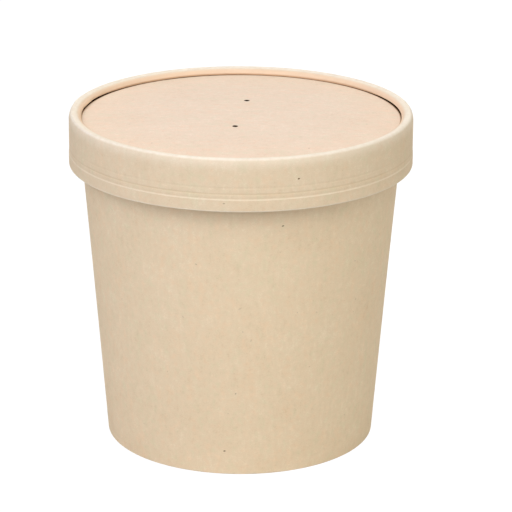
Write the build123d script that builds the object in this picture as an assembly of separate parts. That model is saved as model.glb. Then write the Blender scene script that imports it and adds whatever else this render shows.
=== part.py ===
from build123d import *
import os
from math import atan, cos, degrees, radians, sin, sqrt

# A paper soup cup with its press-on paper lid, both of plain kraft board.
# The cup is a tapered sleeve with a rolled rim, and its base is let in above the
# table, with the sleeve folded up round the base's edge. The lid is a round panel
# with its edge turned down, held in a strip that is curled over it and hemmed
# under it. Every piece is a sheet of one thickness, so each is drawn as a line at
# a depth in its board and the same line again at the board's full depth. Rolls,
# curls and bends are short flats, which a formula sets out along their arcs.
# Millimetres, +Z up, the axis of both on Z and the cup's bottom fold on Z = 0.

# Boards and the glue between them
cup_board = 0.40
base_board = 0.38
panel_board = 0.36
strip_board = 0.36
glue_line = 0.02

# Cup
cup_height = 97.0
base_diameter = 80.4
mouth_diameter = 96.3
rim_roll_diameter = 1.86
rim_roll_turn = 270.0
base_recess = 6.0

# Lid
lid_height = 15.5
panel_recess = 2.25
lip_width = 3.6
lip_crest_inset = 1.4
lip_shoulder_drop = 2.4
strip_hem_height = 4.0
band_proud = 0.1
band_step_rise = 0.5
vent_diameter = 1.25
vent_spacing = 28.0
vent_azimuth = 83.0

# Laps, where the two ends of a sheet are glued one over the other
sleeve_lap_width = 7.0
sleeve_lap_azimuth = 100.0
strip_lap_width = 6.0
strip_lap_azimuth = 166.0
lap_ramp = 2.5
pressed_lap = 0.08

# Clearances
lid_side_clearance = 0.25
lid_seat_gap = 0.1
lip_gap = 0.5
hem_headroom = 1.1
fold_gap = 0.3

# Flats along each round stretch
roll_flats = 4
lip_inner_flats = 2
lip_outer_flats = 2
fold_flats = 1

# Places and sizes that follow from the ones above
taper = (mouth_diameter - base_diameter) / 2 / cup_height
lean = atan(taper)
lean_degrees = degrees(lean)
base_flange_depth = cup_board + glue_line
bottom_hem_depth = base_flange_depth + base_board + glue_line + cup_board
bottom_hem_height = base_recess - base_board - hem_headroom
roll_face_radius = rim_roll_diameter / 2 - cup_board
roll_height = cup_height - rim_roll_diameter / 2


def sleeve_radius(height, depth):
    """Radius, at a height, of the cone that lies a depth inside the sleeve's outer face."""
    return base_diameter / 2 + taper * height - depth / cos(lean)


roll_centre = (sleeve_radius(roll_height, -roll_face_radius), roll_height)
rim_radius = roll_centre[0] + rim_roll_diameter / 2

hem_radius = rim_radius + lid_side_clearance
flange_radius = hem_radius + strip_board + glue_line + panel_board
wall_radius = flange_radius + glue_line + strip_board
band_radius = wall_radius + band_proud

panel_edge_height = cup_height + lid_seat_gap + panel_board
crest_height = panel_edge_height + panel_recess
skirt_height = crest_height - lid_height
flange_end_height = skirt_height + strip_board + fold_gap
hem_top_height = skirt_height + strip_hem_height
crest_radius = wall_radius - lip_crest_inset
lip_foot_height = crest_height - lip_shoulder_drop
lip_end_height = panel_edge_height + lip_gap


def flats(centre, width, height, start, turn, count):
    """Corners of the flats along a quarter or more of an ellipse, by its half width and half height.

    The inner face of a tight fold has no width, so it is a single corner.
    """
    if width <= 0:
        return [centre]
    angles = [radians(start + turn * number / count) for number in range(count + 1)]
    return [(centre[0] + width * cos(angle), centre[1] + height * sin(angle)) for angle in angles]


def turned(face_line, back_line):
    """Ring that the sheet between the lines of its two faces makes round the axis."""
    section = make_face(Polyline(*face_line, *reversed(back_line), close=True))
    return revolve(Plane.XZ * section, Axis.Z, 360)


def lap_block(face_radius, board, width, reach, height, block_lean):
    """Block that keeps the part of a ring where one end of its board lies over the other.

    The upper end stops square on one side. On the other it comes down to the sheet
    below it over the ramp's length.
    """
    half = width / 2
    foot = half + lap_ramp
    plan = Polyline(
        (face_radius - reach, -half),
        (face_radius + 2 * board, -half),
        (face_radius + 2 * board, half),
        (sqrt((face_radius + board) ** 2 - half**2), half),
        (sqrt(face_radius**2 - foot**2), foot),
        (face_radius - reach, foot),
        close=True,
    )
    rise = (sin(block_lean), 0, cos(block_lean))
    return extrude(make_face(plan), height / cos(block_lean), dir=rise)


def sleeve_line(depth):
    """Line of the sleeve from the free edge of its roll to the top of its bottom hem."""
    roll_radius = roll_face_radius + depth
    roll_end = 180 - lean_degrees
    fold_radius = cup_board - depth
    fold_centre = (sleeve_radius(cup_board, cup_board), cup_board)
    return [
        *flats(roll_centre, roll_radius, roll_radius, roll_end - rim_roll_turn, rim_roll_turn, roll_flats),
        *flats(fold_centre, fold_radius, fold_radius, -lean_degrees, lean_degrees - 90, fold_flats),
        (sleeve_radius(depth, bottom_hem_depth - depth), depth),
        (sleeve_radius(bottom_hem_height, bottom_hem_depth - depth), bottom_hem_height),
    ]


def make_cup_sidewall():
    """Tapered sleeve: rolled rim, glued lap at the back, and hem round the base."""
    sleeve = turned(sleeve_line(0), sleeve_line(cup_board))
    lap_top = cup_height - rim_roll_diameter - fold_gap
    lap_ends = (cup_board, lap_top)
    buried = cup_board / 2
    lap_face = [(sleeve_radius(height, -cup_board), height) for height in lap_ends]
    lap_back = [(sleeve_radius(height, buried), height) for height in lap_ends]
    block = lap_block(base_diameter / 2, cup_board, sleeve_lap_width, 2 * cup_board, cup_height, lean)
    return sleeve + (turned(lap_face, lap_back) & Rot(0, 0, sleeve_lap_azimuth) * block)


def base_line(depth):
    """Line of the base from the axis, over its crease, to the edge of its flange."""
    face_height = base_recess - depth
    face_depth = base_flange_depth + depth
    flange_end = cup_board + fold_gap
    return [
        (0, face_height),
        (sleeve_radius(face_height, face_depth), face_height),
        (sleeve_radius(flange_end, face_depth), flange_end),
    ]


def make_cup_base():
    """Round base with its edge turned down inside the sleeve."""
    return turned(base_line(0), base_line(base_board))


def panel_line(depth):
    """Line of the panel from the axis, over its crease, to the flange's edge."""
    return [
        (0, panel_edge_height - depth),
        (flange_radius - depth, panel_edge_height - depth),
        (flange_radius - depth, flange_end_height),
    ]


def make_lid_panel():
    """Round panel with its edge turned down and two vent holes through it."""
    panel = turned(panel_line(0), panel_line(panel_board))
    vent = Pos(0, 0, crest_height) * Cylinder(vent_diameter / 2, 2 * panel_recess)
    for side in (-1, 1):
        panel -= Rot(0, 0, vent_azimuth) * Pos(side * vent_spacing / 2, 0, 0) * vent
    return panel


def lip_line(depth, crest_depth):
    """Line of the strip's lip from its free edge, over the crest, to the top of the side.

    The depth at the crest is given apart, because a lap is pressed flat there.
    """
    inner_centre = (crest_radius, lip_end_height)
    inner_width = lip_width - lip_crest_inset - depth
    inner_height = crest_height - lip_end_height - crest_depth
    outer_centre = (crest_radius, lip_foot_height)
    outer_width = lip_crest_inset - depth
    outer_height = lip_shoulder_drop - crest_depth
    return [
        *flats(inner_centre, inner_width, inner_height, 180, -90, lip_inner_flats),
        *flats(outer_centre, outer_width, outer_height, 90, -90, lip_outer_flats)[1:],
    ]


def step_line(depth):
    """Line of the strip's outer face down the step on to the band over the hem."""
    return [
        (wall_radius - depth, hem_top_height),
        (band_radius - depth, hem_top_height - band_step_rise),
    ]


def hem_line(depth):
    """Line of the strip from its lower fold to the free edge of its hem."""
    fold_radius = strip_board - depth
    fold_centre = (band_radius - strip_board, skirt_height + strip_board)
    return [
        *flats(fold_centre, fold_radius, fold_radius, 0, -90, fold_flats),
        (hem_radius + depth, skirt_height + depth),
        (hem_radius + depth, hem_top_height),
    ]


def make_lid_rim():
    """Strip round the panel: curled lip, side with a band, hem under the flange, and glued lap."""
    face_line = lip_line(0, 0) + step_line(0) + hem_line(0)
    back_line = lip_line(strip_board, strip_board) + hem_line(strip_board)
    buried = strip_board / 2
    lap_foot = skirt_height + strip_board
    lap_face = lip_line(-strip_board, -pressed_lap) + step_line(-strip_board)
    lap_face.append((band_radius + strip_board, lap_foot))
    lap_back = lip_line(buried, buried)
    lap_back.append((wall_radius - buried, lap_foot))
    block = lap_block(band_radius, strip_board, strip_lap_width, 2 * lip_width, 2 * lid_height, 0)
    lap_place = Pos(0, 0, skirt_height) * Rot(0, 0, strip_lap_azimuth)
    return turned(face_line, back_line) + (turned(lap_face, lap_back) & lap_place * block)


parts = {
    "cup_sidewall": make_cup_sidewall(),
    "cup_base": make_cup_base(),
    "lid_panel": make_lid_panel(),
    "lid_rim": make_lid_rim(),
}

os.makedirs("parts", exist_ok=True)
for name, shape in parts.items():
    export_step(shape, f"parts/{name}.step")
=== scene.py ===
"""Looks of a lidded paper soup cup: kraft board surfaces, soft studio light and the camera."""

import logging
from dataclasses import dataclass, replace
from enum import Enum
from math import atan, cos, degrees, exp, pi, radians, sin
from typing import Callable, Sequence

import bmesh
import bpy
import numpy as np
from mathutils import Matrix, Vector


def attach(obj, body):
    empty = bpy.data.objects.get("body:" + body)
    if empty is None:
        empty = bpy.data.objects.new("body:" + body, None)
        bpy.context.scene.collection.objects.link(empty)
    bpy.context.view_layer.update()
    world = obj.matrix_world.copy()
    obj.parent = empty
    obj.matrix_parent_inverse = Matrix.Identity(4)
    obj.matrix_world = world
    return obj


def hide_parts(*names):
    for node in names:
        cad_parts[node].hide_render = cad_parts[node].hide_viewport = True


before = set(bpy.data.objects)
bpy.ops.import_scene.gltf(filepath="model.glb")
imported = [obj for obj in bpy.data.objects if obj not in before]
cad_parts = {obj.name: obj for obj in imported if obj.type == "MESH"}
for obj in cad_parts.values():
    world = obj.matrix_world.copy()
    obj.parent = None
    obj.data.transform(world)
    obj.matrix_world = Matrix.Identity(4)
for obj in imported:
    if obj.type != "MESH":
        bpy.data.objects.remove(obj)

MM = 0.001
WHITE = (1.0, 1.0, 1.0)
SHARP_ANGLE = radians(38)
MERGE_DISTANCE = 1e-7
AZIMUTH_DIGITS = 7

Colour = tuple[float, float, float]
Scale = tuple[float, float, float]
Pair = tuple[float, float]
Loop = list[Pair]
Section = Callable[[float], Loop]
Wave = Callable[[float, float, float], Pair]

log = logging.getLogger("soup_cup")


class Stock(Enum):
    """Sheets of board, each named after its material slot in the record."""

    CUP = "cup_board"
    BASE = "base_board"
    PANEL = "panel_board"
    STRIP = "strip_board"


class Softbox(Enum):
    """Softboxes, as azimuth and elevation in degrees, power in watts and tint."""

    KEY = (-37.0, 39.0, 8.5, (0.96, 0.985, 1.11))
    FRONT = (0.0, 63.0, 6.0, (1.0, 0.99, 0.96))
    FILL = (46.0, 38.0, 3.8, (0.99, 0.985, 0.94))
    LEFT_LOW = (-52.0, 4.0, 2.2, (0.92, 1.0, 1.28))
    RIGHT_LOW = (62.0, 7.0, 2.9, (1.0, 1.0, 0.96))
    BACK_LEFT = (-164.0, 34.0, 3.8, (1.0, 0.99, 0.99))
    BACK_RIGHT = (162.0, 32.0, 3.8, (1.0, 0.99, 0.98))


def from_srgb(red: float, green: float, blue: float) -> Colour:
    """Linear colour of an 8-bit display colour.

    Args:
        red: Red from 0 to 255.
        green: Green from 0 to 255.
        blue: Blue from 0 to 255.

    Returns:
        The colour as linear parts from 0 to 1.
    """
    parts = [channel / 255 for channel in (red, green, blue)]
    linear = [c / 12.92 if c <= 0.04045 else ((c + 0.055) / 1.055) ** 2.4 for c in parts]
    return (linear[0], linear[1], linear[2])


class Value:
    """Output socket of a shader node that takes part in sums and products."""

    def __init__(self, graph: "Graph", socket: bpy.types.NodeSocket) -> None:
        """Wraps a socket of a graph.

        Args:
            graph: Graph that the socket is in.
            socket: The output socket.
        """
        self.graph = graph
        self.socket = socket

    def _math(self, operation: str, first: object, second: object = 0.0) -> "Value":
        """Math node on two operands.

        Args:
            operation: Name of the Math node's operation.
            first: Upper operand, a number or a Value.
            second: Lower operand, a number or a Value.

        Returns:
            The node's output.
        """
        return self.graph.node("ShaderNodeMath", {"operation": operation}, {0: first, 1: second})

    def __add__(self, other: object) -> "Value":
        """Sum."""
        return self._math("ADD", self, other)

    def __radd__(self, other: object) -> "Value":
        """Sum with a number on the left."""
        return self._math("ADD", other, self)

    def __sub__(self, other: object) -> "Value":
        """Difference."""
        return self._math("SUBTRACT", self, other)

    def __rsub__(self, other: object) -> "Value":
        """Difference from a number on the left."""
        return self._math("SUBTRACT", other, self)

    def __mul__(self, other: object) -> "Value":
        """Product."""
        return self._math("MULTIPLY", self, other)

    def __rmul__(self, other: object) -> "Value":
        """Product with a number on the left."""
        return self._math("MULTIPLY", other, self)

    def __truediv__(self, other: object) -> "Value":
        """Quotient."""
        return self._math("DIVIDE", self, other)

    def __rtruediv__(self, other: object) -> "Value":
        """Quotient of a number on the left."""
        return self._math("DIVIDE", other, self)

    def __abs__(self) -> "Value":
        """Size without its sign."""
        return self._math("ABSOLUTE", self)

    def larger(self, other: object) -> "Value":
        """Picks the larger of two values.

        Args:
            other: A number or a Value.

        Returns:
            The larger one.
        """
        return self._math("MAXIMUM", self, other)

    def between(self, low: float, high: float) -> "Value":
        """Smooth step from 0 at a low value to 1 at a high one.

        Args:
            low: Value that gives 0.
            high: Value that gives 1. It may be the smaller one.

        Returns:
            The stepped value.
        """
        settings = {"interpolation_type": "SMOOTHSTEP"}
        start, stop, first, last = (low, high, 0.0, 1.0) if low <= high else (high, low, 1.0, 0.0)
        sockets = {0: self, 1: start, 2: stop, 3: first, 4: last}
        return self.graph.node("ShaderNodeMapRange", settings, sockets)


class Graph:
    """Node tree of one material or of the world."""

    def __init__(self, tree: bpy.types.NodeTree) -> None:
        """Takes a tree and empties it.

        Args:
            tree: Node tree of a material or of the world.
        """
        self.tree = tree
        tree.nodes.clear()

    def node(
        self,
        kind: str,
        settings: dict | None = None,
        inputs: dict | None = None,
        output: int | str = 0,
    ) -> Value:
        """Adds any node.

        Args:
            kind: Node type.
            settings: Attributes of the node, set before its sockets.
            inputs: Socket name or number to a number, colour, vector or Value.
            output: Name or number of the socket that is returned.

        Returns:
            The chosen output, or the first input of a node that has no output.
        """
        made = self.tree.nodes.new(kind)
        for name, value in (settings or {}).items():
            setattr(made, name, value)
        for key, value in (inputs or {}).items():
            if isinstance(value, Value):
                self.tree.links.new(value.socket, made.inputs[key])
            elif made.inputs[key].type == "RGBA":
                made.inputs[key].default_value = (*value, 1.0)
            else:
                made.inputs[key].default_value = value
        return Value(self, made.outputs[output] if len(made.outputs) else made.inputs[0])

    def mix(self, share: Value, first: object, second: object) -> Value:
        """Mixes two colours.

        Args:
            share: 0 gives the first colour and 1 the second.
            first: Colour or Value.
            second: Colour or Value.

        Returns:
            The mixed colour.
        """
        return self.node("ShaderNodeMix", {"data_type": "RGBA"}, {0: share, 6: first, 7: second}, 2)

    def scaled(self, vector: Value, scale: Scale) -> Value:
        """Scales a vector or a colour.

        Args:
            vector: The vector or colour.
            scale: Factors of its three parts.

        Returns:
            The scaled vector or colour.
        """
        return self.vector("MULTIPLY", vector, scale)

    def vector(self, operation: str, first: Value, second: object, output: int | str = 0) -> Value:
        """Vector Math node on two operands.

        Args:
            operation: Name of the node's operation.
            first: Upper operand.
            second: Lower operand, a vector or a Value.
            output: Name or number of the socket that is returned.

        Returns:
            The chosen output.
        """
        sockets = {0: first, 1: second}
        return self.node("ShaderNodeVectorMath", {"operation": operation}, sockets, output)

    def off_axis(self, place: Value, x: float = 0.0, y: float = 0.0) -> Value:
        """Level distance from an upright line.

        Args:
            place: Coordinates in millimetres.
            x: The line's place along X.
            y: The line's place along Y.

        Returns:
            The distance in millimetres.
        """
        return self.vector("DISTANCE", self.scaled(place, (1.0, 1.0, 0.0)), (x, y, 0.0), "Value")

    def noise(self, place: Value, scale: float, detail: float, seed: float) -> Value:
        """Noise from 0 to 1.

        Args:
            place: Coordinates in millimetres.
            scale: Blotches to a millimetre.
            detail: Finer layers on top.
            seed: Fourth coordinate, which sets one pattern apart from another.

        Returns:
            The noise's value.
        """
        sockets = {"Vector": place, "W": seed, "Scale": scale, "Detail": detail}
        sockets["Roughness"] = NOISE_ROUGHNESS
        return self.node("ShaderNodeTexNoise", {"noise_dimensions": "4D"}, sockets)


@dataclass(frozen=True)
class Layer:
    """One layer of noise in the board.

    The scale is in waves to a millimetre, and the detail is the number of finer layers on top. The
    seed sets one pattern apart from another, and the weight is the layer's part in what it feeds.
    """

    scale: float
    detail: float
    seed: float
    weight: float

    def noise(self, place: Value) -> Value:
        """The layer's noise.

        Args:
            place: Coordinates in millimetres.

        Returns:
            The noise, from 0 to 1.
        """
        return place.graph.noise(place, self.scale, self.detail, self.seed)

    def swing(self, noise: Value) -> Value:
        """Weighs the layer's noise.

        Args:
            noise: The noise, from 0 to 1.

        Returns:
            The noise about zero, times the layer's weight.
        """
        return (noise - 0.5) * self.weight


# Layers of the board's tone, its hue and its fibres
NOISE_ROUGHNESS = 0.55
CLOUD = Layer(scale=0.09, detail=3.0, seed=1.0, weight=0.7)
BLOTCH = Layer(scale=0.7, detail=3.0, seed=2.0, weight=1.0)
GRAIN = Layer(scale=2.6, detail=3.0, seed=3.0, weight=1.4)
BRUSHED = Layer(scale=1.0, detail=2.0, seed=6.0, weight=0.5)
HUE_BLOTCH = Layer(scale=0.6, detail=4.0, seed=7.0, weight=0.6)
HUE_BRUSHED = Layer(scale=0.3, detail=3.0, seed=8.0, weight=0.4)
PALE_FIBRE = Layer(scale=0.9, detail=1.0, seed=4.0, weight=0.4)
BROWN_FIBRE = Layer(scale=1.3, detail=1.0, seed=5.0, weight=0.35)

# How the layers show. Each pair of a fade runs from no share to the full one
GRAIN_RUN = (1.0, 1.0, 1.7)
TONE_SWING = 0.3
BROWN_SHARE = 0.5
WARM_FADE = (0.5, 0.64)
WARM_TINT = (1.025, 0.985, 0.96)
COOL_FADE = (0.5, 0.36)
COOL_TINT = (0.965, 1.005, 0.985)
FIBRE_FADE = (0.016, 0.003)
FIBRE_PATCH_SCALE = 0.8
FIBRE_PATCH_SEED = 10.0
FIBRE_PATCH_FADE = (0.5, 0.62)
SPECK_BEND = 1.2
SPECK_SCALE = 0.16
SPECK_FADE = (0.05, 0.02)
SPECK_SHARE = 0.5
FLECK_FADE = (1.5, 0.3)

# Relief of the face, in the bump and in the roughness
GRAIN_RELIEF = 0.6
BLOTCH_RELIEF = 0.5
FIBRE_RELIEF = 0.25
BUMP_STRENGTH = 0.35
BUMP_DISTANCE = 0.08 * MM
ROUGHNESS_SWING = 0.12

# Reach of a punched hole's browner ring and of its painted shade past its radius, in millimetres
VENT_EDGE = 0.1
HOLE_SHADE_REACH = 0.3
BROWN_RING_REACH = 0.5
BROWN_RING_SHARE = 0.5


@dataclass(frozen=True)
class Fleck:
    """One dark shive pressed into the board.

    Its place is an azimuth in degrees, a radius and a height in millimetres. Its size is a
    length and a width in millimetres, and its tilt the angle of its length above the level,
    in degrees.
    """

    azimuth: float
    radius: float
    height: float
    length: float
    width: float
    tilt: float
    strength: float


@dataclass(frozen=True)
class StripWearAndLight:
    """Rubbed crest and painted light and shade on the lid's strip.

    The crest is pale partly as rubbed board and partly as a painted highlight. The shoulder and the
    step below the scores carry painted highlights, the fold at the foot a paler line, the lip's
    inner side a painted warm reflection, and the lip's foot and a groove painted shade. Each pair
    holds the height or radius, in millimetres, where a mark begins and where it is full. A share is
    the most that it covers.
    """

    above_side: Pair = (97.0, 97.6)
    inner_height: Pair = (99.65, 99.1)
    inner_radius: Pair = (49.4, 48.7)
    inner_share: float = 0.8
    foot_height: Pair = (98.35, 97.9)
    foot_radius: Pair = (47.85, 47.5)
    foot_share: float = 0.6
    shoulder_height: Pair = (95.5, 98.9)
    shoulder_radius: Pair = (48.8, 50.2)
    shoulder_share: float = 0.22
    crest_inside: Pair = (47.8, 48.9)
    crest_outside: Pair = (50.85, 50.3)
    crest_share: float = 0.4
    crest_blotch: float = 0.6
    fold_height: Pair = (84.75, 84.3)
    fold_share: float = 0.6
    score_foot: Pair = (87.5, 87.7)
    score_top: Pair = (88.0, 87.85)
    score_share: float = 0.2
    groove_foot: Pair = (89.1, 89.3)
    groove_top: Pair = (89.7, 89.5)
    groove_share: float = 0.3


@dataclass(frozen=True)
class GapShade:
    """Darkening of the panel towards the gap under the lip, each pair as radii in millimetres."""

    warm: Pair = (24.0, 46.9)
    warm_tint: Scale = (1.015, 1.0, 0.98)
    edge: Pair = (46.9, 47.15)
    edge_share: float = 0.7
    dark: Pair = (47.2, 47.4)


@dataclass(frozen=True)
class KraftFinish:
    """Uncoated kraft board.

    The colours are those of the board, its paler and browner parts, the pale of its rubbed crest
    and of painted highlights, the painted warm reflection on the lip's inner side, the specks and
    the painted shadow in and beside a gap and in the vent holes. The run stretches the brushed
    layers.
    """

    stock: Stock
    colour: Colour
    pale: Colour
    brown: Colour
    # Pale of the rubbed crest and of painted highlights on the strip
    wear_and_highlight: Colour = from_srgb(246, 236, 220)
    # Painted warm reflection on the lip's inner side
    inner: Colour = from_srgb(238, 207, 177)
    mottle: float = 0.5
    speckle: float = 0.5
    roughness: float = 0.86
    sheen: float = 0.28
    run: Scale = (1.0, 1.0, 0.16)
    flecks: tuple[Fleck, ...] = ()
    speck: Colour = from_srgb(108, 74, 42)
    shade: Colour = from_srgb(42, 18, 2)
    shadow_edge: Colour = from_srgb(166, 118, 70)
    wear_and_light: StripWearAndLight | None = None
    gap_shade: GapShade | None = None
    vents: tuple[Pair, ...] = ()
    vent_radius: float = 0.0

    def material(self) -> bpy.types.Material:
        """Builds the board's material.

        Returns:
            The material, named after its slot in the record.
        """
        material = bpy.data.materials.new(self.stock.value + "_finish")
        material.use_nodes = True
        graph = Graph(material.node_tree)
        coordinates = graph.node("ShaderNodeTexCoord", output="Object")
        place = graph.scaled(coordinates, (1 / MM, 1 / MM, 1 / MM))
        along_run = graph.scaled(place, self.run)
        blotch = BLOTCH.noise(place)
        grain = GRAIN.noise(graph.scaled(place, GRAIN_RUN))
        tone = CLOUD.swing(CLOUD.noise(place)) + BLOTCH.swing(blotch) + GRAIN.swing(grain)
        tone = (tone + BRUSHED.swing(BRUSHED.noise(along_run))) * self.mottle
        hue = HUE_BLOTCH.noise(place) * HUE_BLOTCH.weight
        hue = hue + HUE_BRUSHED.noise(along_run) * HUE_BRUSHED.weight
        pale_fibre = self.fibres(place, PALE_FIBRE)
        brown_fibre = self.fibres(place, BROWN_FIBRE)

        colour = graph.mix(tone.between(0.0, TONE_SWING), self.colour, self.pale)
        colour = graph.mix(tone.between(0.0, -TONE_SWING) * BROWN_SHARE, colour, self.brown)
        colour = graph.mix(hue.between(*WARM_FADE), colour, graph.scaled(colour, WARM_TINT))
        colour = graph.mix(hue.between(*COOL_FADE), colour, graph.scaled(colour, COOL_TINT))
        colour = graph.mix(pale_fibre * PALE_FIBRE.weight, colour, self.pale)
        colour = graph.mix(brown_fibre * BROWN_FIBRE.weight * self.speckle, colour, self.brown)
        # Rubbed crest, and painted light and shade on the strip
        if self.wear_and_light is not None:
            colour = self.lit_and_worn_strip(place, blotch, colour, self.wear_and_light)
        colour = graph.mix(self.specks(place) * self.speckle * SPECK_SHARE, colour, self.speck)
        for fleck in self.flecks:
            colour = graph.mix(self.fleck_mask(place, fleck), colour, self.speck)
        # Browner ring and painted shade round each vent hole
        for x, y in self.vents:
            colour = self.vent_edge(place, x, y, colour)
        if self.gap_shade is not None:
            colour = self.shaded_panel(place, colour, self.gap_shade)

        relief = grain * GRAIN_RELIEF + blotch * BLOTCH_RELIEF + pale_fibre * FIBRE_RELIEF
        bumps = {"Strength": BUMP_STRENGTH, "Distance": BUMP_DISTANCE, "Height": relief}
        shading = {
            "Base Color": colour,
            "Roughness": self.roughness + (grain - 0.5) * ROUGHNESS_SWING,
            "Normal": graph.node("ShaderNodeBump", None, bumps),
            "Specular IOR Level": self.sheen,
        }
        surface = graph.node("ShaderNodeBsdfPrincipled", None, shading)
        graph.node("ShaderNodeOutputMaterial", None, {"Surface": surface})
        return material

    def fibres(self, place: Value, layer: Layer) -> Value:
        """Mask of short curved fibres.

        Args:
            place: Coordinates in millimetres.
            layer: Noise whose middle level the fibres follow.

        Returns:
            1 on a fibre and 0 off it.
        """
        ridge = abs(layer.noise(place) - 0.5)
        seed = layer.seed + FIBRE_PATCH_SEED
        patches = place.graph.noise(place, FIBRE_PATCH_SCALE, layer.detail, seed)
        return ridge.between(*FIBRE_FADE) * patches.between(*FIBRE_PATCH_FADE)

    def specks(self, place: Value) -> Value:
        """Mask of sparse small specks.

        Args:
            place: Coordinates in millimetres.

        Returns:
            1 inside a speck and 0 outside.
        """
        graph = place.graph
        drift = {"Vector": place, "Scale": SPECK_BEND}
        sway = graph.node("ShaderNodeTexNoise", None, drift, "Color")
        sockets = {0: sway, 1: (SPECK_BEND, SPECK_BEND, SPECK_BEND), 2: place}
        bent = graph.node("ShaderNodeVectorMath", {"operation": "MULTIPLY_ADD"}, sockets)
        sockets = {"Vector": bent, "Scale": SPECK_SCALE, "Randomness": 1.0}
        distance = graph.node("ShaderNodeTexVoronoi", None, sockets, "Distance")
        return distance.between(*SPECK_FADE)

    def fleck_mask(self, place: Value, fleck: Fleck) -> Value:
        """Mask of one named fleck.

        Args:
            place: Coordinates in millimetres.
            fleck: The fleck's place and size.

        Returns:
            The fleck's strength inside it and 0 outside.
        """
        graph = place.graph
        angle, tilt = radians(fleck.azimuth), radians(fleck.tilt)
        out = Vector((cos(angle), sin(angle), 0.0))
        level = Vector((-sin(angle), cos(angle), 0.0))
        centre = out * fleck.radius + Vector((0.0, 0.0, fleck.height))
        along = level * cos(tilt) + Vector((0.0, 0.0, sin(tilt)))
        across = Vector((0.0, 0.0, cos(tilt))) - level * sin(tilt)
        offset = graph.vector("SUBTRACT", place, tuple(centre))
        parts = []
        for direction, size in ((along, fleck.length), (across, fleck.width), (out, fleck.width)):
            parts.append(graph.vector("DOT_PRODUCT", offset, tuple(direction * 2 / size), "Value"))
        reach = parts[0] * parts[0] + parts[1] * parts[1] + parts[2] * parts[2]
        return reach.between(*FLECK_FADE) * fleck.strength

    def lit_and_worn_strip(self, place: Value, blotch: Value, colour: Value, wear_and_light: StripWearAndLight) -> Value:
        """Strip's colour with its pale crest, rubbed and with a painted highlight, painted
        highlights on the shoulder and the score's step, a paler fold, a painted warm reflection on
        the inner lip, and painted shade at the lip's foot and in a groove.

        Args:
            place: Coordinates in millimetres.
            blotch: Noise that breaks the crest's rubbed pale up.
            colour: Colour of the board so far.
            wear_and_light: Places and shares of the rubbed crest and of the painted light and
                shade.

        Returns:
            The board's colour with the rubbed crest and the painted light and shade.
        """
        graph = place.graph
        radius = graph.off_axis(place)
        height = graph.node("ShaderNodeSeparateXYZ", None, {0: place}, 2)
        lip = height.between(*wear_and_light.above_side)
        # Painted warm reflection on the lip's inner side
        inner = height.between(*wear_and_light.inner_height) * radius.between(*wear_and_light.inner_radius) * lip
        colour = graph.mix(inner * wear_and_light.inner_share, colour, self.inner)
        # Painted shade at the lip's foot, under its curl
        foot = height.between(*wear_and_light.foot_height) * radius.between(*wear_and_light.foot_radius) * lip
        colour = graph.mix(foot * wear_and_light.foot_share, colour, self.shadow_edge)
        # Painted shade along the middle score
        groove = height.between(*wear_and_light.groove_foot) * height.between(*wear_and_light.groove_top)
        colour = graph.mix(groove * wear_and_light.groove_share, colour, self.brown)
        # Painted light: the side paler towards its top
        shoulder = height.between(*wear_and_light.shoulder_height) * radius.between(*wear_and_light.shoulder_radius)
        # Pale crest, partly rubbed board and partly a painted highlight
        crest = radius.between(*wear_and_light.crest_inside) * radius.between(*wear_and_light.crest_outside) * lip
        crest = crest * (wear_and_light.crest_share + wear_and_light.crest_blotch * blotch)
        # Paler line along the fold at the foot
        fold = height.between(*wear_and_light.fold_height) * wear_and_light.fold_share
        # Painted highlight on the step below the scores
        score = height.between(*wear_and_light.score_foot) * height.between(*wear_and_light.score_top)
        wear_and_highlight = (shoulder * wear_and_light.shoulder_share).larger(crest).larger(fold)
        wear_and_highlight = wear_and_highlight.larger(score * wear_and_light.score_share)
        return graph.mix(wear_and_highlight, colour, self.wear_and_highlight)

    def shaded_panel(self, place: Value, colour: Value, shade: GapShade) -> Value:
        """Panel's colour as it darkens towards the gap under the lip.

        Args:
            place: Coordinates in millimetres.
            colour: Colour of the board so far.
            shade: Places and shares of the darkening.

        Returns:
            The board's colour with the shade.
        """
        graph = place.graph
        radius = graph.off_axis(place)
        warm = graph.scaled(colour, shade.warm_tint)
        colour = graph.mix(radius.between(*shade.warm), colour, warm)
        colour = graph.mix(radius.between(*shade.edge) * shade.edge_share, colour, self.shadow_edge)
        return graph.mix(radius.between(*shade.dark), colour, self.shade)

    def vent_edge(self, place: Value, x: float, y: float, colour: Value) -> Value:
        """Browner ring round one punched hole, and painted shade that darkens the face at the
        hole's edge.

        Args:
            place: Coordinates in millimetres.
            x: Hole's centre along X.
            y: Hole's centre along Y.
            colour: Colour of the board so far.

        Returns:
            The board's colour with the ring and the painted shade.
        """
        graph = place.graph
        offset = graph.off_axis(place, x, y)
        edge = self.vent_radius + VENT_EDGE
        brown_ring = offset.between(self.vent_radius + BROWN_RING_REACH, edge) * BROWN_RING_SHARE
        ringed = graph.mix(brown_ring, colour, self.brown)
        # Painted shade of the hole, dark on the face at its edge
        return graph.mix(offset.between(self.vent_radius + HOLE_SHADE_REACH, edge), ringed, self.shade)


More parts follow.
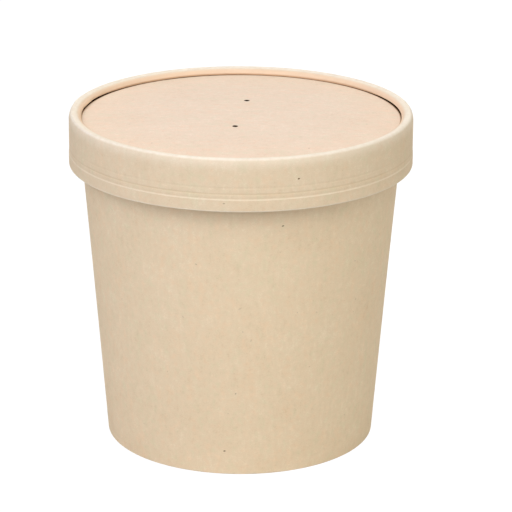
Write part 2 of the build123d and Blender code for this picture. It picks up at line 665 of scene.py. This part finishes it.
@dataclass(frozen=True)
class Lap:
    """Glued overlap of a rolled sheet's two ends.

    The upper end stops square on the side of the lower azimuth, and comes down to the sheet below
    it over a ramp on the other side. Lengths are in millimetres.
    """

    azimuth: float
    width: float
    radius: float
    ramp: float = 2.5
    edge: float = 0.06

    def height(self, angle: float) -> float:
        """Share of a board's thickness that the face stands proud.

        Args:
            angle: Azimuth in radians.

        Returns:
            1 on the lap and 0 off it.
        """
        turn = (angle - radians(self.azimuth) + pi) % (2 * pi) - pi
        along = turn * self.radius
        rise = np.interp(along, [-self.width / 2 - self.edge, -self.width / 2], [0.0, 1.0])
        fall = np.interp(along, [self.width / 2, self.width / 2 + self.ramp], [1.0, 0.0])
        return float(min(rise, fall))

    def columns(self) -> list[float]:
        """Azimuths, in radians, that the mesh needs at the lap's edges."""
        half = self.width / 2
        square_end = (-half - self.edge, -half, -half + self.edge)
        ramp_end = (half, half + self.ramp / 2, half + self.ramp)
        return [radians(self.azimuth) + stop / self.radius for stop in square_end + ramp_end]


@dataclass(frozen=True)
class Ripple:
    """Wave round the axis, with its size in millimetres, number of crests and phase in radians."""

    size: float
    crests: int
    phase: float = 0.0

    def both_ways(self, angle: float) -> float:
        """Shift to either side.

        Args:
            angle: Azimuth in radians.

        Returns:
            The shift, from minus the size to the size.
        """
        return self.size * sin(self.crests * angle + self.phase)

    def one_way(self, angle: float, twist: float = 0.0) -> float:
        """Shift to one side alone.

        Args:
            angle: Azimuth in radians.
            twist: Further phase in radians.

        Returns:
            The shift, from nothing to twice the size.
        """
        return self.size * (1 + sin(self.crests * angle + self.phase + twist))


@dataclass(frozen=True)
class Score:
    """Shallow pressed line round the strip. Lengths are in millimetres."""

    height: float
    half_width: float
    depth: float

    def sink(self, height: float) -> float:
        """Depth of the line.

        Args:
            height: Height in millimetres.

        Returns:
            The depth at that height, in millimetres.
        """
        return self.depth * max(0.0, 1 - ((height - self.height) / self.half_width) ** 2)


def arc(centre: Pair, width: float, height: float, start: float, turn: float, count: int) -> Loop:
    """Points along an ellipse's arc.

    Args:
        centre: Radius and height of the centre.
        width: Half width.
        height: Half height.
        start: Angle of the first point, in degrees.
        turn: Angle that the arc turns through, in degrees.
        count: Number of steps.

    Returns:
        The points, both ends among them.
    """
    angles = [radians(start + turn * step / count) for step in range(count + 1)]
    return [(centre[0] + width * cos(angle), centre[1] + height * sin(angle)) for angle in angles]


def straight(first: Pair, last: Pair, count: int) -> Loop:
    """Points along a straight line, without its ends.

    Args:
        first: Radius and height of the start.
        last: Radius and height of the end.
        count: Number of steps.

    Returns:
        The points between the two ends.
    """
    shares = [step / count for step in range(1, count)]
    (x, y), (last_x, last_y) = first, last
    return [(x + (last_x - x) * share, y + (last_y - y) * share) for share in shares]


def still(angle: float, radius: float, height: float) -> Pair:
    """Wave of a sheet that has none: no shift of radius or height anywhere."""
    return (0.0, 0.0)


def add_object(name: str, data: bpy.types.ID) -> bpy.types.Object:
    """Makes an object and links it to the scene.

    Args:
        name: Name of the new object.
        data: Its mesh, lamp or camera.

    Returns:
        The new object.
    """
    made = bpy.data.objects.new(name, data)
    bpy.context.scene.collection.objects.link(made)
    return made


def turned(name: str, section: Section, columns: Sequence[float], wave: Wave) -> bpy.types.Object:
    """Closed sheet made by carrying a section round the axis.

    Args:
        name: Name of the new object.
        section: Gives the section's closed loop, in millimetres, at an azimuth in radians.
        columns: Azimuths of the mesh's columns, in radians.
        wave: Gives small shifts of radius and height from azimuth, radius and height.

    Returns:
        The new object, linked to the scene.
    """
    angles = sorted({round(angle % (2 * pi), AZIMUTH_DIGITS) for angle in columns})
    rows: list[list[tuple[float, float, float]]] = []
    for angle in angles:
        row = []
        for radius, height in section(angle):
            shift = wave(angle, radius, height)
            out = radius + shift[0]
            row.append((out * cos(angle) * MM, out * sin(angle) * MM, (height + shift[1]) * MM))
        rows.append(row)
    count = len(rows[0])
    points = [point for row in rows for point in row]
    faces = []
    for column in range(len(rows)):
        after = (column + 1) % len(rows)
        for step in range(count):
            up = (step + 1) % count
            near, far = column * count, after * count
            faces.append((near + step, near + up, far + up, far + step))
    mesh = bpy.data.meshes.new(name)
    mesh.from_pydata(points, [], faces)
    build = bmesh.new()
    build.from_mesh(mesh)
    bmesh.ops.remove_doubles(build, verts=build.verts, dist=MERGE_DISTANCE)
    bmesh.ops.recalc_face_normals(build, faces=build.faces)
    build.to_mesh(mesh)
    build.free()
    mesh.validate()
    mesh.shade_smooth()
    mesh.set_sharp_from_angle(angle=SHARP_ANGLE)
    return add_object(name, mesh)


def report(piece: bpy.types.Object) -> None:
    """Logs a finished piece's name and size."""
    faces, tall = len(piece.data.polygons), piece.dimensions.z / MM
    log.info("%s: %d faces, %.1f mm tall", piece.name, faces, tall)


@dataclass
class CupBody:
    """Sleeve and base of the cup. Sizes are in millimetres and match the source of the solids."""

    board: float = 0.40
    base_board: float = 0.38
    glue: float = 0.02
    height: float = 97.0
    foot_radius: float = 40.2
    mouth_radius: float = 48.15
    roll_radius: float = 0.93
    roll_turn: float = 270.0
    recess: float = 6.0
    hem_height: float = 4.52
    fold_gap: float = 0.3
    base_bend: float = 0.7
    lap_foot: float = 0.45
    lap_blend: float = 0.05
    columns: int = 420
    wall_rows: int = 30
    inner_rows: int = 20
    base_rows: int = 24
    roll_steps: int = 22
    bend_steps: int = 6
    inner_bend_steps: int = 4
    sway: Ripple = Ripple(0.05, 2, 0.6)
    twisted_sway: Ripple = Ripple(0.03, 5)
    twist: float = 0.03
    steady_top: float = 3.0
    steady_foot: float = 2.0

    @property
    def taper(self) -> float:
        """Growth of the radius with height."""
        return (self.mouth_radius - self.foot_radius) / self.height

    @property
    def lean(self) -> float:
        """Angle of the wall from upright, in radians."""
        return atan(self.taper)

    @property
    def lap(self) -> Lap:
        """The glued lap at the back of the sleeve."""
        return Lap(azimuth=100.0, width=7.0, radius=self.foot_radius)

    def radius(self, height: float, depth: float = 0.0) -> float:
        """Radius of the cone that lies a depth inside the sleeve's outer face.

        Args:
            height: Height in millimetres.
            depth: Depth in millimetres, square to the face.

        Returns:
            The radius in millimetres.
        """
        return self.foot_radius + self.taper * height - depth / cos(self.lean)

    def sleeve_section(self, angle: float) -> Loop:
        """Section of the sleeve at an azimuth.

        Args:
            angle: Azimuth in radians.

        Returns:
            The closed loop, from the roll's free edge down the outer face and back up inside.
        """
        board, lean = self.board, degrees(self.lean)
        proud = self.lap.height(angle) * board
        centre_height = self.height - self.roll_radius
        face_roll = self.roll_radius - board
        centre = (self.radius(centre_height, -face_roll), centre_height)
        start = 180 - lean - self.roll_turn
        top = self.height - 2 * self.roll_radius - self.fold_gap
        wall_top = (self.radius(top, -proud), top)
        wall_foot = (self.radius(self.lap_foot, -proud), self.lap_foot)
        hem_depth = 2 * board + self.base_board + 2 * self.glue
        fold = (self.radius(board, board), board)
        hem_fold = (self.radius(board, hem_depth - board), board)

        face = arc(centre, face_roll, face_roll, start, self.roll_turn, self.roll_steps)
        face += [(self.radius(top + self.lap_blend), top + self.lap_blend), wall_top]
        face += straight(wall_top, wall_foot, self.wall_rows) + [wall_foot]
        face += arc(fold, board, board, -lean, lean - 90, self.bend_steps)
        face += arc(hem_fold, board, board, 270, -90 - lean, self.bend_steps)
        face += [(self.radius(self.hem_height, hem_depth), self.hem_height)]
        roll = self.roll_radius
        back = arc(centre, roll, roll, start, self.roll_turn, self.roll_steps)
        back += straight(back[-1], fold, self.inner_rows) + [fold, hem_fold]
        back += [(self.radius(self.hem_height, hem_depth - board), self.hem_height)]
        return face + back[::-1]

    def base_section(self, angle: float) -> Loop:
        """Section of the base, the same at every azimuth.

        Args:
            angle: Azimuth in radians, not used.

        Returns:
            The closed loop, from the axis out over the top and back underneath.
        """
        outer, inner = self.board + self.glue, self.board + self.glue + self.base_board
        bend, inside = self.base_bend, self.base_bend - self.base_board
        foot = self.board + self.fold_gap
        top, under = self.recess, self.recess - self.base_board
        flat_end = self.radius(top, outer) - bend
        face_end, under_end = (flat_end, top), (flat_end, under)
        centre = (self.radius(top - bend, outer) - bend, top - bend)
        face = [(0.0, top)] + straight((0.0, top), face_end, self.base_rows)
        face += arc(centre, bend, bend, 90, -90, self.bend_steps)
        face += [(self.radius(foot, outer), foot)]
        back = [(0.0, under)] + straight((0.0, under), under_end, self.base_rows)
        back += arc(centre, inside, inside, 90, -90, self.inner_bend_steps)
        back += [(self.radius(foot, inner), foot)]
        return face + back[::-1]

    def sleeve_wave(self, angle: float, radius: float, height: float) -> Pair:
        """Slight out-of-round of the wall, fading to nothing at the rim and the foot.

        Args:
            angle: Azimuth in radians.
            radius: Radius in millimetres, not used.
            height: Height in millimetres.

        Returns:
            Shifts of radius and height in millimetres.
        """
        share = sin(pi * min(1.0, max(0.0, height / (self.height - self.steady_top))))
        inward = self.sway.one_way(angle) + self.twisted_sway.one_way(angle, height * self.twist)
        return (-inward * share if height > self.hem_height + self.steady_foot else 0.0, 0.0)

    def build(self, sleeve: KraftFinish, base: KraftFinish) -> list[bpy.types.Object]:
        """Builds and dresses the sleeve and the base.

        Args:
            sleeve: Finish of the sleeve.
            base: Finish of the base.

        Returns:
            The two pieces.
        """
        even = [2 * pi * step / self.columns for step in range(self.columns)]
        columns = even + self.lap.columns()
        wall = turned("cup_sleeve", self.sleeve_section, columns, self.sleeve_wave)
        floor = turned("cup_floor", self.base_section, even[::2], still)
        for piece, node, finish in ((wall, "cup_sidewall", sleeve), (floor, "cup_base", base)):
            piece.data.materials.append(finish.material())
            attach(piece, "cup")
            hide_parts(node)
            report(piece)
        return [wall, floor]


@dataclass
class PressedLid:
    """Panel and side strip of the lid.

    Sizes are in millimetres and match the source of the solids.
    """

    board: float = 0.36
    hem_radius: float = 49.7856
    flange_radius: float = 50.5256
    wall_radius: float = 50.9056
    band_radius: float = 51.0056
    skirt: float = 84.21
    crest: float = 99.71
    edge: float = 97.46
    hem_top: float = 88.21
    lip_width: float = 3.6
    lip_inset: float = 1.0
    lip_drop: float = 2.4
    lip_gap: float = 0.5
    pressed_lap: float = 0.08
    lap_press: float = 0.5
    crown: float = 1.3
    fold_gap: float = 0.3
    panel_bend: float = 0.7
    vent_radius: float = 0.625
    vent_spacing: float = 28.0
    vent_azimuth: float = 83.0
    vent_sides: int = 40
    punch_depth: float = 4.0
    columns: int = 480
    panel_rows: int = 40
    lip_steps: int = 16
    bend_steps: int = 6
    inner_bend_steps: int = 4
    upper_rows: tuple[float, ...] = (97.0, 95.5, 94.0, 92.5)
    scored_top: float = 91.7
    scored_rows: int = 44
    scored_pitch: float = 0.1
    band_rows: tuple[float, ...] = (86.6, 85.6)
    scores: tuple[Score, ...] = (
        Score(91.2, 0.4, 0.04),
        Score(89.4, 0.35, 0.06),
        Score(88.15, 0.25, 0.04),
    )
    band_step: Pair = (87.6, 87.9)
    wander: tuple[Ripple, ...] = (Ripple(0.09, 3, 0.9), Ripple(0.06, 7, 2.1), Ripple(0.03, 17))
    wander_radii: Pair = (47.3, 49.6)
    dips: tuple[Ripple, ...] = (Ripple(0.025, 2, -0.8), Ripple(0.012, 9))
    dip_base: float = 0.05
    dip_heights: Pair = (96.0, 99.7)
    gape: float = 0.56
    gape_azimuths: Pair = (10.0, 169.0)
    gape_width: float = 19.0
    gape_base: float = -0.26
    gape_heights: Pair = (98.3, 99.4)
    swells: tuple[Ripple, ...] = (Ripple(0.07, 2, 0.4), Ripple(0.05, 3, 2.0))
    swell_radius: float = 50.0
    swell_reach: float = 1.0

    @property
    def lap(self) -> Lap:
        """The glued lap of the strip, on the left and towards the back."""
        return Lap(azimuth=166.0, width=6.0, radius=self.band_radius)

    @property
    def vents(self) -> tuple[Pair, Pair]:
        """Centres of the two vent holes."""
        angle, half = radians(self.vent_azimuth), self.vent_spacing / 2
        return ((half * cos(angle), half * sin(angle)), (-half * cos(angle), -half * sin(angle)))

    def relief(self, height: float) -> float:
        """Shift of the side's face from the wall's radius, at its scored lines and its band.

        Args:
            height: Height in millimetres.

        Returns:
            The shift outward in millimetres.
        """
        shift = float(np.interp(height, self.band_step, [self.band_radius - self.wall_radius, 0.0]))
        for score in self.scores:
            shift -= score.sink(height)
        return shift

    def strip_section(self, angle: float) -> Loop:
        """Section of the strip at an azimuth.

        Args:
            angle: Azimuth in radians.

        Returns:
            The closed loop, from the lip's free edge over the crest, down the side, up the hem
            and back.
        """
        share, depth = self.lap.height(angle), self.board
        proud, lift = share * depth * self.lap_press, share * self.pressed_lap * self.lap_press
        crest_radius = self.wall_radius - self.lip_inset
        lip_end = self.edge + self.lip_gap
        inner = (crest_radius, lip_end)
        outer = (crest_radius, self.crest - self.lip_drop)
        wide, tall = self.lip_width - self.lip_inset, self.crest - lip_end
        scored = [self.scored_top - self.scored_pitch * step for step in range(self.scored_rows)]
        heights = [*self.upper_rows, *scored, *self.band_rows]

        face = arc(inner, wide + proud, tall + lift, 180, -90, self.lip_steps)
        drop, inset = self.lip_drop, self.lip_inset
        face += arc(outer, inset + proud, drop + lift, 90, -90, self.lip_steps)[1:]
        face += [(self.wall_radius + proud + self.relief(height), height) for height in heights]
        fold = (self.band_radius + proud - depth, self.skirt + depth)
        hem_fold = (self.hem_radius + depth, self.skirt + depth)
        face += arc(fold, depth, depth, 0, -90, self.bend_steps)
        face += arc(hem_fold, depth, depth, 270, -90, self.bend_steps)
        face += [(self.hem_radius, self.hem_top)]
        back = arc(inner, wide - depth, tall - depth, 180, -90, self.lip_steps)
        back += arc(outer, inset - depth, drop - depth, 90, -90, self.lip_steps)[1:]
        wall = self.wall_radius - depth
        back += [(wall, self.hem_top), (wall, self.skirt + depth)]
        back += [hem_fold, (self.hem_radius + depth, self.hem_top)]
        return face + back[::-1]

    def panel_section(self, angle: float) -> Loop:
        """Section of the panel, the same at every azimuth.

        Args:
            angle: Azimuth in radians, not used.

        Returns:
            The closed loop, from the axis out over the top and back underneath.
        """
        bend, inside = self.panel_bend, self.panel_bend - self.board
        foot, rows = self.skirt + self.board + self.fold_gap, self.panel_rows
        reach = self.flange_radius - bend
        centre = (reach, self.edge - bend)
        radii = [reach * step / rows for step in range(rows)]
        face = [(radius, self.edge + self.crown * (1 - (radius / reach) ** 2)) for radius in radii]
        back = [(radius, height - self.board) for radius, height in face]
        face += arc(centre, bend, bend, 90, -90, self.bend_steps) + [(self.flange_radius, foot)]
        back += arc(centre, inside, inside, 90, -90, self.inner_bend_steps)
        back += [(self.flange_radius - self.board, foot)]
        return face + back[::-1]

    def strip_wave(self, angle: float, radius: float, height: float) -> Pair:
        """Uneven hand of the curl: the lip's free edge wanders and gapes, and its crest dips.

        Args:
            angle: Azimuth in radians.
            radius: Radius in millimetres.
            height: Height in millimetres.

        Returns:
            Shifts of radius and height in millimetres.
        """
        inside = 0.0
        if height > self.edge:
            inside = float(np.interp(radius, self.wander_radii, [1.0, 0.0]))
        wander = sum(ripple.both_ways(angle) for ripple in self.wander)
        high = float(np.interp(height, self.dip_heights, [0.0, 1.0]))
        dip = self.dip_base - sum(ripple.one_way(angle) for ripple in self.dips)
        low = float(np.interp(height, self.gape_heights, [1.0, 0.0])) * inside
        gape = self.gape_base
        for azimuth in self.gape_azimuths:
            away = (degrees(angle) - azimuth + 180) % 360 - 180
            gape += self.gape * exp(-((away / self.gape_width) ** 2))
        return (wander * inside, dip * high + gape * low)

    def panel_wave(self, angle: float, radius: float, height: float) -> Pair:
        """Slack of the panel: shallow swells that die out at the axis and at the edge.

        Args:
            angle: Azimuth in radians.
            radius: Radius in millimetres.
            height: Height in millimetres.

        Returns:
            Shifts of radius and height in millimetres.
        """
        if height <= self.edge - self.swell_reach:
            return (0.0, 0.0)
        out = radius / self.swell_radius
        share = 4 * out * max(0.0, 1 - out)
        return (0.0, share * sum(ripple.both_ways(angle) for ripple in self.swells))

    def punch(self, panel: bpy.types.Object) -> None:
        """Cuts the two vent holes through the panel.

        Args:
            panel: The panel, whose mesh is replaced by the cut one.
        """
        build = bmesh.new()
        for x, y in self.vents:
            place = Matrix.Translation((x * MM, y * MM, self.edge * MM))
            bmesh.ops.create_cone(
                build,
                cap_ends=True,
                segments=self.vent_sides,
                radius1=self.vent_radius * MM,
                radius2=self.vent_radius * MM,
                depth=self.punch_depth * MM,
                matrix=place,
            )
        mesh = bpy.data.meshes.new("vent_punches")
        build.to_mesh(mesh)
        build.free()
        punches = add_object("vent_punches", mesh)
        cut = panel.modifiers.new("vents", "BOOLEAN")
        cut.operation, cut.object, cut.solver = "DIFFERENCE", punches, "EXACT"
        graph = bpy.context.evaluated_depsgraph_get()
        holed = bpy.data.meshes.new_from_object(panel.evaluated_get(graph))
        panel.modifiers.clear()
        panel.data = holed
        holed.set_sharp_from_angle(angle=SHARP_ANGLE)
        bpy.data.objects.remove(punches)

    def build(self, strip: KraftFinish, panel: KraftFinish) -> list[bpy.types.Object]:
        """Builds and dresses the strip and the panel.

        Args:
            strip: Finish of the strip.
            panel: Finish of the panel.

        Returns:
            The two pieces.
        """
        even = [2 * pi * step / self.columns for step in range(self.columns)]
        side = turned("lid_strip", self.strip_section, even + self.lap.columns(), self.strip_wave)
        top = turned("lid_top", self.panel_section, even[::2], self.panel_wave)
        self.punch(top)
        for piece, node, finish in ((side, "lid_rim", strip), (top, "lid_panel", panel)):
            piece.data.materials.clear()
            piece.data.materials.append(finish.material())
            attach(piece, "lid")
            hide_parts(node)
            report(piece)
        return [side, top]


@dataclass(frozen=True)
class Studio:
    """Floor, world, lamps and camera. Lengths are in metres."""

    floor_half: float = 4.0
    floor_colour: Colour = (0.75, 0.755, 0.76)
    floor_glow: float = 0.9
    glow_strength: float = 1.09
    sky_colour: Colour = (1.0, 0.985, 0.965)
    sky_rise: Pair = (-0.2, 0.7)
    horizon_light: float = 0.03
    zenith_light: float = 0.14
    lamp_distance: float = 1.3
    lamp_width: float = 0.9
    lens: float = 195.35
    sensor: float = 36.0
    distance: float = 0.83598
    pitch: float = 18.778
    yaw: float = 0.319
    roll: float = 0.225
    aim_height: float = 0.05404
    clip_near: float = 0.05
    clip_far: float = 50.0

    def seen(self, graph: Graph) -> Value:
        """Tells the rays that show the background itself: camera, mirror and glass rays.

        Args:
            graph: Graph that takes the nodes.

        Returns:
            1 for those rays and 0 for the others.
        """
        path = graph.node("ShaderNodeLightPath", output="Is Camera Ray")
        glossy = graph.node("ShaderNodeLightPath", output="Is Glossy Ray")
        through = graph.node("ShaderNodeLightPath", output="Is Transmission Ray")
        return path.larger(glossy).larger(through)

    def lay_floor(self) -> None:
        """Adds the white floor, which keeps the object's shadow."""
        build = bmesh.new()
        bmesh.ops.create_grid(build, x_segments=4, y_segments=4, size=self.floor_half)
        mesh = bpy.data.meshes.new("studio_floor")
        build.to_mesh(mesh)
        build.free()
        floor = add_object("studio_floor", mesh)
        material = bpy.data.materials.new("studio_paper")
        material.use_nodes = True
        graph = Graph(material.node_tree)
        matte = graph.node("ShaderNodeBsdfDiffuse", None, {"Color": self.floor_colour})
        bright = {"Color": WHITE, "Strength": self.glow_strength}
        glow = graph.node("ShaderNodeEmission", None, bright)
        share = self.seen(graph) * self.floor_glow
        surface = graph.node("ShaderNodeMixShader", None, {0: share, 1: matte, 2: glow})
        graph.node("ShaderNodeOutputMaterial", None, {"Surface": surface})
        mesh.materials.append(material)

    def light_world(self) -> None:
        """Sets a soft pale sky, which the camera sees as plain white."""
        world = bpy.data.worlds.new("studio_sky")
        world.use_nodes = True
        bpy.context.scene.world = world
        graph = Graph(world.node_tree)
        direction = graph.node("ShaderNodeTexCoord", output="Generated")
        upward = graph.node("ShaderNodeSeparateXYZ", None, {0: direction}, 2)
        rise = upward.between(*self.sky_rise)
        level = self.horizon_light + rise * (self.zenith_light - self.horizon_light)
        pale = {"Color": self.sky_colour, "Strength": level}
        soft = graph.node("ShaderNodeBackground", None, pale)
        white = graph.node("ShaderNodeBackground", None, {"Color": WHITE, "Strength": 1.0})
        surface = graph.node("ShaderNodeMixShader", None, {0: self.seen(graph), 1: soft, 2: white})
        graph.node("ShaderNodeOutputWorld", None, {"Surface": surface})

    def hang_lamp(self, box: Softbox) -> None:
        """Hangs one softbox that faces the object.

        Args:
            box: The softbox's direction, power and tint.
        """
        azimuth, elevation, power, tint = box.value
        turn, tilt = radians(azimuth), radians(elevation)
        out = Vector((sin(turn) * cos(tilt), -cos(turn) * cos(tilt), sin(tilt)))
        lamp = bpy.data.lights.new("softbox_" + box.name.lower(), "AREA")
        lamp.shape, lamp.size, lamp.energy, lamp.color = "SQUARE", self.lamp_width, power, tint
        holder = add_object(lamp.name, lamp)
        holder.location = out * self.lamp_distance + Vector((0.0, 0.0, self.aim_height))
        holder.rotation_mode = "QUATERNION"
        holder.rotation_quaternion = out.to_track_quat("Z", "Y")

    def set_camera(self) -> None:
        """Places the camera where the photograph was taken from."""
        pitch, yaw, roll = radians(self.pitch), radians(self.yaw), radians(self.roll)
        ahead = Vector((0, cos(pitch), -sin(pitch)))
        up = Vector((0, sin(pitch), cos(pitch)))
        right = Vector((1, 0, 0))
        look = ahead * cos(yaw) + right * sin(yaw)
        level = right * cos(yaw) - ahead * sin(yaw)
        across = level * cos(roll) + up * sin(roll)
        above = up * cos(roll) - level * sin(roll)
        rise = self.aim_height + self.distance * sin(pitch)
        place = Vector((0, -self.distance * cos(pitch), rise))
        camera = bpy.data.cameras.new("camera")
        camera.lens, camera.sensor_width = self.lens, self.sensor
        camera.clip_start, camera.clip_end = self.clip_near, self.clip_far
        holder = add_object("camera", camera)
        turn = Matrix((across, above, -look)).transposed()
        holder.matrix_world = Matrix.Translation(place) @ turn.to_4x4()
        bpy.context.scene.camera = holder

    def build(self) -> None:
        """Sets up the whole studio."""
        self.set_camera()
        self.light_world()
        self.lay_floor()
        for box in Softbox:
            self.hang_lamp(box)
        bpy.context.scene.view_settings.view_transform = "Standard"


CUP = CupBody()
LID = PressedLid()

SLEEVE_FLECKS = (
    Fleck(-75.1, 46.62, 78.35, 0.75, 0.4, 20.0, 0.85),
    Fleck(-106.1, 45.64, 66.35, 0.6, 0.35, -35.0, 0.4),
    Fleck(-91.7, 42.35, 26.25, 0.7, 0.4, 60.0, 0.4),
    Fleck(-96.3, 40.82, 7.56, 0.75, 0.45, 10.0, 0.85),
    Fleck(-85.9, 43.74, 43.17, 0.9, 0.45, 75.0, 0.2),
    Fleck(-90.2, 44.56, 53.17, 1.0, 0.4, 30.0, 0.2),
    Fleck(-111.9, 44.25, 49.40, 0.9, 0.4, -60.0, 0.2),
    Fleck(-62.0, 42.9, 33.0, 0.6, 0.35, 15.0, 0.25),
    Fleck(38.0, 44.1, 48.0, 1.0, 0.45, -20.0, 0.7),
    Fleck(128.0, 42.2, 25.0, 0.8, 0.4, 50.0, 0.6),
)
STRIP_FLECKS = (
    Fleck(-71.4, 50.9, 93.35, 0.7, 0.45, 15.0, 1.0),
    Fleck(-95.3, 51.0, 86.75, 0.7, 0.4, 0.0, 0.45),
    Fleck(47.6, 47.5, 99.2, 0.8, 0.5, 0.0, 0.4),
    Fleck(110.0, 50.9, 92.0, 0.8, 0.4, -30.0, 0.6),
)
PANEL_FLECKS = (
    Fleck(-60.0, 38.72, 97.85, 0.8, 0.5, 0.0, 0.4),
    Fleck(146.0, 27.0, 98.1, 0.7, 0.45, 0.0, 0.3),
)

SLEEVE_KRAFT = KraftFinish(
    stock=Stock.CUP,
    colour=from_srgb(226, 203, 169),
    pale=from_srgb(235, 216, 185),
    brown=from_srgb(206, 178, 137),
    flecks=SLEEVE_FLECKS,
)
BASE_KRAFT = replace(SLEEVE_KRAFT, stock=Stock.BASE, flecks=())
STRIP_KRAFT = KraftFinish(
    stock=Stock.STRIP,
    colour=from_srgb(220, 198, 166),
    pale=from_srgb(229, 211, 183),
    brown=from_srgb(203, 176, 138),
    flecks=STRIP_FLECKS,
    wear_and_light=StripWearAndLight(),
)
PANEL_KRAFT = KraftFinish(
    stock=Stock.PANEL,
    colour=from_srgb(233, 211, 189),
    pale=from_srgb(242, 222, 203),
    brown=from_srgb(216, 187, 158),
    sheen=0.08,
    run=(0.2, 1.0, 1.0),
    flecks=PANEL_FLECKS,
    gap_shade=GapShade(),
    vents=LID.vents,
    vent_radius=LID.vent_radius,
)


def main() -> None:
    """Builds the cup, the lid and the studio."""
    logging.basicConfig(level=logging.INFO, format="%(name)s: %(message)s")
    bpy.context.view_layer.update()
    CUP.build(SLEEVE_KRAFT, BASE_KRAFT)
    LID.build(STRIP_KRAFT, PANEL_KRAFT)
    Studio().build()


if __name__ == "__main__":
    main()
